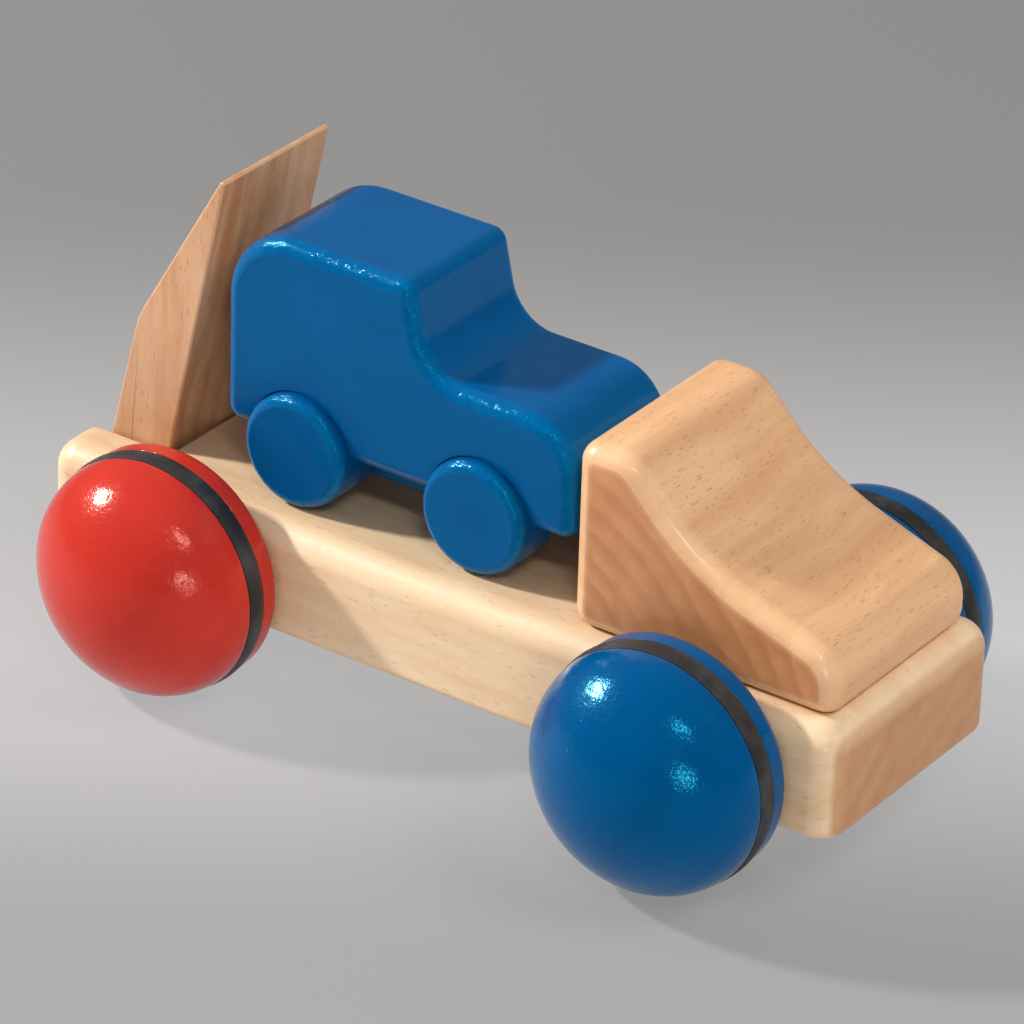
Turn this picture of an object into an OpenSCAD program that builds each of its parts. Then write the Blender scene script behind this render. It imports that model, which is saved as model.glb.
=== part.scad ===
// Wooden toy truck with domed wheels, a fold-down ramp and a toy car on its bed.
// +X is the front of the truck, +Y its left side, +Z up. The origin lies on the floor, under the middle.

/* [Chassis] */
// Width of the chassis board
chassis_w = 59.5; // [50:0.5:72]
// Thickness of the chassis board
chassis_t = 24.8; // [22:0.1:30]
// Radius of the board's upper edges and upright corners
chassis_edge_r = 6; // [3:0.5:8]
// Radius of the board's lower edges
chassis_under_r = 2.5; // [1:0.5:4]
// Height of the wheel axles above the board's underside
axle_up = 10.3; // [9:0.1:13]
// Front of the board to the front axle
front_overhang = 34.7; // [29:0.1:40]
// Board left behind the ramp's hinge
tail_l = 12.8; // [10.5:0.1:18]
// Wood between the rear axle's bore and the ramp's slot
axle_wall = 8.2; // [5:0.1:12]

/* [Wheels] */
// Outer radius of the rubber ring that the truck rolls on
tyre_r = 26; // [24:0.1:29]
// Thickness of the rubber ring, from the groove's floor to its crown
ring_t = 3.7; // [3:0.1:5]
// Radius of the ring's rounded crown, seen in section
tyre_crown_r = 6; // [3:0.1:9]
// Width of the groove for the ring
groove_w = 4.4; // [3.5:0.1:5]
// Stand of the ring over the wheel's dome
dome_step = 0.4; // [0.2:0.1:1.2]
// Height of the dome, from the rubber ring to its crown
dome_rise = 19.7; // [17:0.1:24]
// Radius of the dome's shoulder, seen in section
dome_edge_r = 14.5; // [9:0.5:15.5]
// Stand of the ring over the rim behind it
rim_step = 0.4; // [0.2:0.1:1.2]
// Thickness of the rim behind the rubber ring
rim_w = 5.4; // [4:0.1:7]
// Radius that rounds the rim at the wheel's flat inner face
rim_round = 2.5; // [0.5:0.1:3.5]
// Gap between the chassis and a wheel
wheel_gap = 0.7; // [0.5:0.1:2]

/* [Axles and dowels] */
// Diameter of the truck's axles
axle_d = 8; // [6:0.5:10]
// Depth of an axle's end in its wheel
axle_grip = 14; // [10:0.5:20]
// Diameter of the dowels that hold the cab
dowel_d = 8; // [5:0.5:9]
// Depth of a cab dowel in each piece
dowel_depth = 8.5; // [6:0.5:9]
// Cab's back and nose to the dowels
dowel_inset = 13; // [10:0.5:16]

/* [Cab] */
// Length of the cab
cab_l = 61.9; // [56:0.1:68]
// Width of the cab
cab_w = 50; // [42:0.5:54]
// Height of the cab above the bed
cab_h = 40.7; // [37:0.1:47]
// Chassis left in front of the cab's nose
cab_setback = 3.7; // [2:0.1:8]
// Back of the cab to the top of the windscreen
roof_l = 12.6; // [11:0.1:17]
// Height of the nose
nose_h = 12.4; // [11:0.1:16]
// Back of the cab to where windscreen and bonnet would meet
screen_foot_x = 28.8; // [25:0.1:32]
// Height where windscreen and bonnet would meet
screen_foot_h = 23.8; // [21:0.1:27]
// Radius of the hollow between windscreen and bonnet
screen_r = 54; // [30:1:60]
// Radius of the roof's front edge
roof_r = 8; // [5:0.5:9]
// Radius of the nose's upper edge
nose_r = 9; // [5:0.5:9]
// Radius of the cab's other edges
cab_edge_r = 4.6; // [2:0.1:5]
// Depth of the cab's edge rounding that is cut off where it sits on the bed
cab_sink = 0.5; // [0.3:0.1:1.9]

/* [Ramp] */
// Width of the ramp
ramp_w = 35; // [28:0.5:40]
// Thickness of the ramp at its foot
ramp_t = 15; // [13:0.5:19]
// Height of the ramp's tip above the bed
ramp_rise = 65; // [58:0.5:74]
// Thickness of the ramp's tip
tip_t = 1.1; // [0.8:0.1:3]
// Hinge to the shoulder where the outer face starts its taper
shoulder_up = 38; // [32:0.5:50]
// Thinning of the ramp at the shoulder
shoulder_in = 1; // [0:0.1:3]
// Forward lean of the upright ramp, in degrees
ramp_lean = 12; // [5:0.5:14]
// Depth of the hinge below the bed
hinge_drop = 10; // [9:0.5:12]
// Diameter of the hinge pin
ramp_pin_d = 6; // [4:0.5:8]

/* [Toy car] */
// Length of the car's body
car_l = 86; // [78:0.5:92]
// Width of the car's body
car_w = 34.8; // [31:0.1:38]
// Underside of the car's body to its roof
car_h = 44.6; // [40:0.1:50]
// Underside of the car's body to its bonnet
car_bonnet_h = 25.3; // [23:0.1:28]
// Tail of the car to the foot of the windscreen
car_screen_foot = 50; // [46:0.2:54]
// Backward slope of the windscreen
car_screen_run = 4.4; // [2:0.2:8]
// Radius of the tail's upper edge
car_tail_r = 16; // [8:0.5:18]
// Radius of the bonnet's front edge
car_nose_r = 12; // [6:0.5:13]
// Radius of the hollow at the windscreen's foot
car_hollow_r = 10; // [5:0.5:12]
// Radius of the body's other edges
car_edge_r = 3.6; // [2:0.1:5]
// Height of the body's underside above the car's axles
car_body_up = 0.5; // [0.2:0.1:4]
// Width of the keel that carries the car's axles
car_keel_w = 15; // [11:0.5:17]
// Length of the keel past each axle
car_keel_end = 8; // [6:0.5:11]
// Wood under the car's axle bores
car_keel_wall = 3; // [2:0.1:4]
// Radius of the car's wheels
car_wheel_r = 12.4; // [11:0.1:13]
// Thickness of the car's wheels
car_wheel_t = 12.6; // [9:0.1:15]
// Radius that rounds the outer edge of the car's wheels
car_wheel_round = 2.6; // [0.8:0.1:3]
// Tail of the car to its rear axle
car_rear_axle_in = 19.5; // [17.5:0.1:22]
// Nose of the car to its front axle
car_front_axle_in = 22.3; // [18:0.1:24]
// Diameter of the car's axles
car_axle_d = 6; // [4:0.5:7]
// Depth of a car axle's end in its wheel
car_axle_grip = 8; // [5:0.5:8.5]
// Stand of the parked car to the right of the truck's middle
car_aside = 1.5; // [0:0.1:3]

/* [Clearances] */
// Radial gap of an axle or pin that turns in its bore
run_gap = 0.08; // [0.02:0.01:0.1]
// Radial gap of a glued dowel
glue_gap = 0.04; // [0.02:0.01:0.08]
// Gap between a rubber ring and its groove
ring_gap = 0.04; // [0.02:0.01:0.1]
// Gap between the ramp and each cheek of its slot
ramp_side_gap = 0.5; // [0.3:0.1:1]
// Gap between the upright ramp and the bed's edge that stops it
stop_gap = 0.8; // [0.2:0.1:1.2]
// Gap between the cab and the car
car_gap = 4; // [1:0.5:6]
// Gap between the car's tail and the ramp's tip as the car lifts off
lift_gap = 1.1; // [1:0.1:6]
// Gap under the car's wheels
rest_gap = 0.3; // [0.2:0.1:0.5]
// Gap between the car's keel and its wheels
car_wheel_gap = 0.5; // [0.3:0.1:1]
// Gap between the car's wheels and their pockets
pocket_gap = 0.8; // [0.5:0.1:1.5]

/* [Hidden] */
$fn = 96;
wood = [0.86, 0.69, 0.49];
dowel_wood = [0.80, 0.62, 0.42];
red = [0.80, 0.13, 0.10];
blue = [0.0, 0.30, 0.58];
rubber = [0.10, 0.10, 0.10];

// Overlap of cutters past the faces that they cut
cut = 1;
// Greatest gap between a round edge and the facets of the cab and the car's body
arc_tolerance = 0.025;
// Steps across a rounded side edge of the cab and the car's body
edge_steps = 7;

// Radii of the wheels
groove_r = tyre_r - ring_t;
dome_r = tyre_r - dome_step;
rim_r = tyre_r - rim_step;

// Heights
axle_z = tyre_r;
under_z = axle_z - axle_up;
bed_z = under_z + chassis_t;
hinge_z = bed_z - hinge_drop;
car_axle_z = bed_z + rest_gap + car_wheel_r;
car_under_z = car_axle_z + car_body_up;

// Places along the truck, from the ramp's hinge forwards
lean_run = ramp_rise * tan(ramp_lean);
hinge_run = (ramp_t / 2 + hinge_drop * sin(ramp_lean)) / cos(ramp_lean) + stop_gap;
chassis_l = tail_l + hinge_run - stop_gap + lean_run + lift_gap + car_l + car_gap + cab_l + cab_setback;
nose_x = chassis_l / 2;
tail_x = -chassis_l / 2;
hinge_x = tail_x + tail_l;
bed_edge_x = hinge_x + hinge_run;
cab_front_x = nose_x - cab_setback;
cab_back_x = cab_front_x - cab_l;
car_nose_x = cab_back_x - car_gap;
car_tail_x = car_nose_x - car_l;
front_axle_x = nose_x - front_overhang;
rear_axle_x = bed_edge_x + axle_wall + axle_d / 2;
car_front_axle_x = car_nose_x - car_front_axle_in;
car_rear_axle_x = car_tail_x + car_rear_axle_in;

// Places across the truck
wheel_in_y = chassis_w / 2 + wheel_gap;
car_wheel_in_y = car_keel_w / 2 + car_wheel_gap;
slot_w = ramp_w + 2 * ramp_side_gap;
right = -1;
left = 1;

// Hinge's foot on the ramp's inner face, up to the tip
ramp_up = (hinge_drop + ramp_rise + ramp_t / 2 * sin(ramp_lean)) / cos(ramp_lean);

// Outlines as corners [x, z, radius], counter-clockwise
cab_corners = [
    [0, -cab_sink, cab_edge_r],
    [cab_l, -cab_sink, cab_edge_r],
    [cab_l, nose_h, nose_r],
    [screen_foot_x, screen_foot_h, screen_r],
    [roof_l, cab_h, roof_r],
    [0, cab_h, cab_edge_r]
];
car_corners = [
    [0, 0, car_edge_r],
    [car_l, 0, car_edge_r],
    [car_l, car_bonnet_h, car_nose_r],
    [car_screen_foot, car_bonnet_h, car_hollow_r],
    [car_screen_foot - car_screen_run, car_h, car_edge_r],
    [0, car_h, car_tail_r]
];

function unit(v) = v / norm(v);

// Points [x, z, normal x, normal z] of the arc that rounds corner p between its neighbours
function corner_arc(before, p, after) =
    let (
        at = [p.x, p.y],
        to_before = unit([before.x, before.y] - at),
        to_after = unit([after.x, after.y] - at),
        half = acos(to_before * to_after) / 2,
        centre = at + unit(to_before + to_after) * p.z / sin(half),
        start = at + to_before * p.z / tan(half) - centre,
        side = sign(cross(to_after, to_before)),
        sweep = 180 - 2 * half,
        steps = ceil(sweep / (2 * acos(1 - arc_tolerance / p.z)))
    )
    [
        for (i = [0:steps])
            let (
                turn = side * sweep * i / steps,
                arm = [start.x * cos(turn) - start.y * sin(turn), start.x * sin(turn) + start.y * cos(turn)],
                out = side * arm / p.z
            )
            [centre.x + arm.x, centre.y + arm.y, out.x, out.y]
    ];

function rounded_outline(corners) =
    let (n = len(corners))
    [
        for (i = [0:n - 1])
            each corner_arc(corners[(i + n - 1) % n], corners[i], corners[(i + 1) % n])
    ];

// Outline in X and Z carried across Y, with its side edges rounded all the way round
module rounded_slab(corners, width, edge_r) {
    rim = rounded_outline(corners);
    n = len(rim);
    turns = [for (i = [0:edge_steps]) 90 * i / edge_steps];
    near = [for (t = turns) [edge_r - width / 2 - edge_r * cos(t), edge_r * (1 - sin(t))]];
    rows = concat(near, [for (i = [edge_steps:-1:0]) [-near[i].x, near[i].y]]);
    last = len(rows) - 1;
    points = [for (row = rows) for (q = rim) [q.x - q[2] * row.y, row.x, q.y - q[3] * row.y]];
    skin = [
        for (j = [0:last - 1])
            for (i = [0:n - 1])
                let (a = j * n + i, b = j * n + (i + 1) % n)
                each [[a, b, b + n], [a, b + n, a + n]]
    ];
    near_cap = [for (i = [n - 1:-1:0]) i];
    far_cap = [for (i = [0:n - 1]) last * n + i];
    polyhedron(points, concat(skin, [near_cap, far_cap]), convexity = 6);
}

// Cylinder along Y, centred on the truck's middle plane
module cross_rod(x, z, d, length) {
    translate([x, 0, z])
        rotate([90, 0, 0])
            cylinder(d = d, h = length, center = true);
}

// Section of the board's edge, outwards from the centre of its upright corner
module board_edge() {
    r = chassis_edge_r;
    low = chassis_under_r;
    square([r - low, chassis_t - r]);
    translate([0, low])
        square([r, chassis_t - r - low]);
    translate([r - low, low])
        circle(low);
    intersection() {
        translate([0, chassis_t - r])
            circle(r);
        square([r, chassis_t]);
    }
}

// Board with rounded upper edges, eased lower edges and round upright corners
module board() {
    core = [chassis_l - 2 * chassis_edge_r, chassis_w - 2 * chassis_edge_r];
    translate([-core.x / 2, -core.y / 2, 0])
        cube([core.x, core.y, chassis_t]);
    for (turn = [0, 180])
        rotate(turn) {
            translate([core.x / 2, core.y / 2, 0])
                rotate([90, 0, 0])
                    linear_extrude(core.y)
                        board_edge();
            translate([-core.x / 2, core.y / 2, 0])
                rotate([90, 0, 90])
                    linear_extrude(core.x)
                        board_edge();
            translate([core.x / 2, core.y / 2, 0])
                rotate_extrude(angle = 90)
                    board_edge();
            translate([-core.x / 2, core.y / 2, 0])
                rotate(90)
                    rotate_extrude(angle = 90)
                        board_edge();
        }
}

// Two upright dowels, or the holes for them
module dowel_pair(d, z, height) {
    for (x = [cab_back_x + dowel_inset, cab_front_x - dowel_inset])
        translate([x, 0, z])
            cylinder(d = d, h = height);
}

module chassis() {
    color(wood)
        difference() {
            translate([0, 0, under_z])
                board();
            translate([tail_x - cut, -slot_w / 2, under_z - cut])
                cube([bed_edge_x - tail_x + cut, slot_w, chassis_t + 2 * cut]);
            for (x = [front_axle_x, rear_axle_x])
                cross_rod(x, axle_z, axle_d + 2 * run_gap, chassis_w + 2 * cut);
            cross_rod(hinge_x, hinge_z, ramp_pin_d + 2 * glue_gap, chassis_w + 2 * cut);
            dowel_pair(dowel_d + 2 * glue_gap, bed_z - dowel_depth - glue_gap, dowel_depth + glue_gap + cut);
        }
}

module cab() {
    color(wood)
        difference() {
            translate([cab_back_x, 0, bed_z])
                rounded_slab(cab_corners, cab_w, cab_edge_r);
            translate([cab_back_x - cut, -cab_w / 2 - cut, bed_z - cab_sink - cut])
                cube([cab_l + 2 * cut, cab_w + 2 * cut, cab_sink + cut]);
            dowel_pair(dowel_d + 2 * glue_gap, bed_z - cut, dowel_depth + glue_gap + cut);
        }
}

module cab_dowels() {
    color(dowel_wood)
        dowel_pair(dowel_d, bed_z - dowel_depth, 2 * dowel_depth);
}

module ramp_profile() {
    circle(d = ramp_t);
    polygon([
        [ramp_t / 2, 0],
        [ramp_t / 2, ramp_up],
        [ramp_t / 2 - tip_t, ramp_up],
        [shoulder_in - ramp_t / 2, shoulder_up],
        [-ramp_t / 2, 0]
    ]);
}

module ramp() {
    color(wood)
        difference() {
            translate([hinge_x, 0, hinge_z])
                rotate([0, ramp_lean, 0])
                    rotate([90, 0, 0])
                        translate([0, 0, -ramp_w / 2])
                            linear_extrude(ramp_w)
                                ramp_profile();
            cross_rod(hinge_x, hinge_z, ramp_pin_d + 2 * run_gap, ramp_w + 2 * cut);
        }
}

module ramp_pin() {
    color(dowel_wood)
        cross_rod(hinge_x, hinge_z, ramp_pin_d, chassis_w);
}

// Places a wheel that is drawn with its flat inner face at z = 0 and its outer side up
module at_wheel(x, side) {
    translate([x, side * wheel_in_y, axle_z])
        rotate([-90 * side, 0, 0])
            children();
}

// Half section of the dome: a shoulder arc that runs into a wider crown arc
module dome_section() {
    shoulder_x = dome_r - dome_edge_r;
    crown_r = (pow(shoulder_x, 2) / (dome_rise - dome_edge_r) + dome_rise + dome_edge_r) / 2;
    crown_centre = [0, dome_rise - crown_r];
    join_angle = atan2(crown_r - dome_rise, shoulder_x);
    intersection() {
        square([dome_r, dome_rise]);
        union() {
            translate([shoulder_x, 0])
                circle(dome_edge_r);
            intersection() {
                translate(crown_centre)
                    circle(crown_r);
                polygon([
                    crown_centre,
                    crown_centre + 2 * crown_r * [cos(join_angle), sin(join_angle)],
                    crown_centre + [0, 2 * crown_r]
                ]);
            }
        }
    }
}

// Half section of the rim behind the rubber ring, rounded at the flat inner face
module rim_section() {
    translate([0, rim_round])
        square([rim_r, rim_w - rim_round]);
    square([rim_r - rim_round, rim_w]);
    translate([rim_r - rim_round, rim_round])
        circle(rim_round);
}

// Domed wheel with a groove round it and a blind hole for the axle
module domed_wheel() {
    rotate_extrude()
        difference() {
            union() {
                rim_section();
                square([groove_r, rim_w + groove_w]);
                translate([0, rim_w + groove_w])
                    dome_section();
            }
            translate([0, -cut])
                square([axle_d / 2 + glue_gap, axle_grip + glue_gap + cut]);
        }
}

// Rubber ring with a rounded crown
module rubber_ring() {
    floor_r = groove_r + ring_gap;
    rotate_extrude()
        intersection() {
            translate([floor_r, rim_w + ring_gap])
                square([tyre_r - floor_r, groove_w - 2 * ring_gap]);
            translate([tyre_r - tyre_crown_r, rim_w + groove_w / 2])
                union() {
                    circle(tyre_crown_r);
                    translate([-tyre_r, -groove_w])
                        square([tyre_r, 2 * groove_w]);
                }
        }
}

module front_axle() {
    color(dowel_wood)
        cross_rod(front_axle_x, axle_z, axle_d, 2 * (wheel_in_y + axle_grip));
}

module rear_axle() {
    color(dowel_wood)
        cross_rod(rear_axle_x, axle_z, axle_d, 2 * (wheel_in_y + axle_grip));
}

module front_right_wheel() {
    color(blue)
        at_wheel(front_axle_x, right)
            domed_wheel();
}

module front_left_wheel() {
    color(blue)
        at_wheel(front_axle_x, left)
            domed_wheel();
}

module rear_right_wheel() {
    color(red)
        at_wheel(rear_axle_x, right)
            domed_wheel();
}

module rear_left_wheel() {
    color(red)
        at_wheel(rear_axle_x, left)
            domed_wheel();
}

module front_right_tyre() {
    color(rubber)
        at_wheel(front_axle_x, right)
            rubber_ring();
}

module front_left_tyre() {
    color(rubber)
        at_wheel(front_axle_x, left)
            rubber_ring();
}

module rear_right_tyre() {
    color(rubber)
        at_wheel(rear_axle_x, right)
            rubber_ring();
}

module rear_left_tyre() {
    color(rubber)
        at_wheel(rear_axle_x, left)
            rubber_ring();
}

// Wheel pockets on both sides of the keel, open below and at the sides
module wheel_pockets() {
    for (x = [car_front_axle_x, car_rear_axle_x])
        for (side = [right, left])
            translate([x, side * car_keel_w / 2, car_axle_z])
                rotate([-90 * side, 0, 0])
                    cylinder(r = car_wheel_r + pocket_gap, h = car_w);
}

module car_keel() {
    keel_z = car_axle_z - car_axle_d / 2 - run_gap - car_keel_wall;
    length = car_front_axle_x - car_rear_axle_x + 2 * car_keel_end;
    translate([car_rear_axle_x - car_keel_end, -car_keel_w / 2, keel_z])
        cube([length, car_keel_w, car_under_z + car_edge_r - keel_z]);
}

// Places the car, drawn about the truck's middle plane, where it is parked
module parked() {
    translate([0, right * car_aside, 0])
        children();
}

module car_body() {
    color(blue)
        parked()
            difference() {
                union() {
                    difference() {
                        translate([car_tail_x, 0, car_under_z])
                            rounded_slab(car_corners, car_w, car_edge_r);
                        wheel_pockets();
                    }
                    car_keel();
                }
                for (x = [car_front_axle_x, car_rear_axle_x])
                    cross_rod(x, car_axle_z, car_axle_d + 2 * run_gap, car_keel_w + 2 * cut);
            }
}

module at_car_wheel(x, side) {
    parked()
        translate([x, side * car_wheel_in_y, car_axle_z])
            rotate([-90 * side, 0, 0])
                children();
}

// Disc with a rounded outer edge and a blind hole for its axle
module disc_wheel() {
    rotate_extrude()
        difference() {
            union() {
                square([car_wheel_r - car_wheel_round, car_wheel_t]);
                square([car_wheel_r, car_wheel_t - car_wheel_round]);
                translate([car_wheel_r - car_wheel_round, car_wheel_t - car_wheel_round])
                    circle(car_wheel_round);
            }
            translate([0, -cut])
                square([car_axle_d / 2 + glue_gap, car_axle_grip + glue_gap + cut]);
        }
}

module car_front_axle() {
    color(dowel_wood)
        parked()
            cross_rod(car_front_axle_x, car_axle_z, car_axle_d, 2 * (car_wheel_in_y + car_axle_grip));
}

module car_rear_axle() {
    color(dowel_wood)
        parked()
            cross_rod(car_rear_axle_x, car_axle_z, car_axle_d, 2 * (car_wheel_in_y + car_axle_grip));
}

module car_front_right_wheel() {
    color(blue)
        at_car_wheel(car_front_axle_x, right)
            disc_wheel();
}

module car_front_left_wheel() {
    color(blue)
        at_car_wheel(car_front_axle_x, left)
            disc_wheel();
}

module car_rear_right_wheel() {
    color(blue)
        at_car_wheel(car_rear_axle_x, right)
            disc_wheel();
}

module car_rear_left_wheel() {
    color(blue)
        at_car_wheel(car_rear_axle_x, left)
            disc_wheel();
}

chassis();
cab();
cab_dowels();
ramp();
ramp_pin();
front_axle();
rear_axle();
front_right_wheel();
front_left_wheel();
rear_right_wheel();
rear_left_wheel();
front_right_tyre();
front_left_tyre();
rear_right_tyre();
rear_left_tyre();
car_body();
car_front_axle();
car_rear_axle();
car_front_right_wheel();
car_front_left_wheel();
car_rear_right_wheel();
car_rear_left_wheel();
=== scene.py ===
import bmesh
import bpy
import numpy as np
from mathutils import Matrix, Vector


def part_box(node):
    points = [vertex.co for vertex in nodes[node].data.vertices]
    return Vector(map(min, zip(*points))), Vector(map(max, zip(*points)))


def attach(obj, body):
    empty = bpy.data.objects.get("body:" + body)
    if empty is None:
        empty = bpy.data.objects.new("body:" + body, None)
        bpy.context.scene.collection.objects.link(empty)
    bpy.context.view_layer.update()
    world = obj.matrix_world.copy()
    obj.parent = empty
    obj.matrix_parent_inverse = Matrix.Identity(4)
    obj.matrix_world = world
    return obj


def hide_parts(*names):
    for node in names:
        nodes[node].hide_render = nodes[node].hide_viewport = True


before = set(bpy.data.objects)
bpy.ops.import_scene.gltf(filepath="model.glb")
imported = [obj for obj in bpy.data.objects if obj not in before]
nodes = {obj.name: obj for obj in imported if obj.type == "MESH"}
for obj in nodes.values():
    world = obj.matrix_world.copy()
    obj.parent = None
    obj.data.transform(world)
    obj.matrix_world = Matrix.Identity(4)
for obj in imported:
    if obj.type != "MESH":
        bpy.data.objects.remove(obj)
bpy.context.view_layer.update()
mm = 0.001  # shapes below are worked out in millimetres
perMm = (1000, 1000, 1000)  # patterns are worked out in millimetres too


def addNode(tree, kind, links=None, **settings):
    # A node with its settings; each input is linked to a socket or set to a plain value
    made = tree.nodes.new(kind)
    for key, value in settings.items():
        setattr(made, key, value)
    for key, value in (links or {}).items():
        if isinstance(value, bpy.types.NodeSocket):
            tree.links.new(value, made.inputs[key])
        else:
            made.inputs[key].default_value = value
    return made


def calc(tree, operation, *values, clamp=False):
    # Arithmetic on numbers
    links = {i: v for i, v in enumerate(values)}
    return addNode(tree, "ShaderNodeMath", links, operation=operation, use_clamp=clamp).outputs[0]


def vecCalc(tree, operation, *values, out=0):
    # Arithmetic on vectors
    links = {i: v for i, v in enumerate(values)}
    return addNode(tree, "ShaderNodeVectorMath", links, operation=operation).outputs[out]


def noise(tree, vector, scale, detail=2.0, roughness=0.5, out=0):
    # Soft random clouds, about 1 / scale across
    links = {"Vector": vector, "Scale": scale, "Detail": detail, "Roughness": roughness}
    return addNode(tree, "ShaderNodeTexNoise", links).outputs[out]


def remap(tree, value, low, high, toLow=0.0, toHigh=1.0):
    # Smooth step from one span of values to another
    links = {"Value": value, "From Min": low, "From Max": high, "To Min": toLow, "To Max": toHigh}
    return addNode(tree, "ShaderNodeMapRange", links, interpolation_type="SMOOTHSTEP").outputs[0]


def mixColour(tree, factor, first, second, blend="MIX"):
    # First colour turning into the second as the factor goes from 0 to 1
    links = {0: factor, 6: first, 7: second}
    return addNode(tree, "ShaderNodeMix", links, data_type="RGBA", blend_type=blend).outputs[2]


finishOutputs = [("Colour", "colour"), ("Roughness", "value"), ("Height", "value")]


def newGroup(name, inputs, outputs):
    # An empty shader group with its sockets; gives the tree, its inputs and its outputs
    kinds = {"vector": "NodeSocketVector", "colour": "NodeSocketColor", "value": "NodeSocketFloat"}
    tree = bpy.data.node_groups.new(name, "ShaderNodeTree")
    for label, kind, start in inputs:
        tree.interface.new_socket(name=label, in_out="INPUT", socket_type=kinds[kind]).default_value = start
    for label, kind in outputs:
        tree.interface.new_socket(name=label, in_out="OUTPUT", socket_type=kinds[kind])
    return tree, tree.nodes.new("NodeGroupInput").outputs, tree.nodes.new("NodeGroupOutput").inputs


beechGroupInputs = [
    ("Grain", "vector", (0, 0, 0)),
    ("Pale", "colour", (0.80, 0.60, 0.38, 1)),
    ("Warm", "colour", (0.70, 0.455, 0.25, 1)),
    ("Fleck", "colour", (0.36, 0.19, 0.09, 1)),
    ("Pith", "vector", (0, 38, -64)),
    ("Ring Width", "value", 5.0),
    ("Ring Depth", "value", 0.3),
    ("Fleck Share", "value", 0.25),
    ("Fleck Depth", "value", 0.4),
    ("End", "value", 0.0),
    ("Wear And Sheen", "value", 0.0),
    ("Cut", "colour", (0.77, 0.575, 0.445, 1)),
]


# How many there are in a mm, along the fibres and across them
grainRate = {
    "streak": (0.011, 0.16, 0.16),
    "fibre": (0.07, 2.0, 2.0),
    "fleck": (0.33, 1.7, 1.7),
    "crowd": (0.06, 0.2, 0.2),
    "pore": (0.45, 3.2, 3.2),
}


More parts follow.
